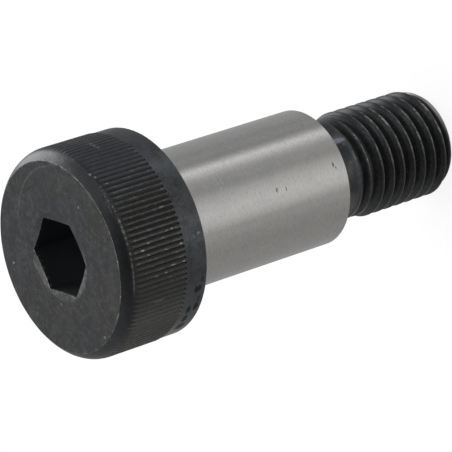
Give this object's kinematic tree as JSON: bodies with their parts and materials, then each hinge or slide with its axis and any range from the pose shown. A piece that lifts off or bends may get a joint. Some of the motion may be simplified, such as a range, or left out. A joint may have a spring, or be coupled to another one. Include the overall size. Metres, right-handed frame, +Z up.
{
  "type": "shoulder bolt",
  "caption": "Shoulder bolt standing on its thread end: knurled head with a hexagon socket, ground steel shoulder, short neck and coarse thread.",
  "frame": {"origin": "centre of the flat thread end, on the surface that the bolt stands on", "axes": "+Z up the bolt's axis to the head, +X through a corner of the hexagon socket"},
  "size_m": [0.03, 0.03, 0.066],
  "materials": {
    "steel": "black oxide on head, neck and thread, bright ground shoulder"
  },
  "bodies": {
    "root": {"shoulder_bolt": "steel"}
  },
  "joints": []
}
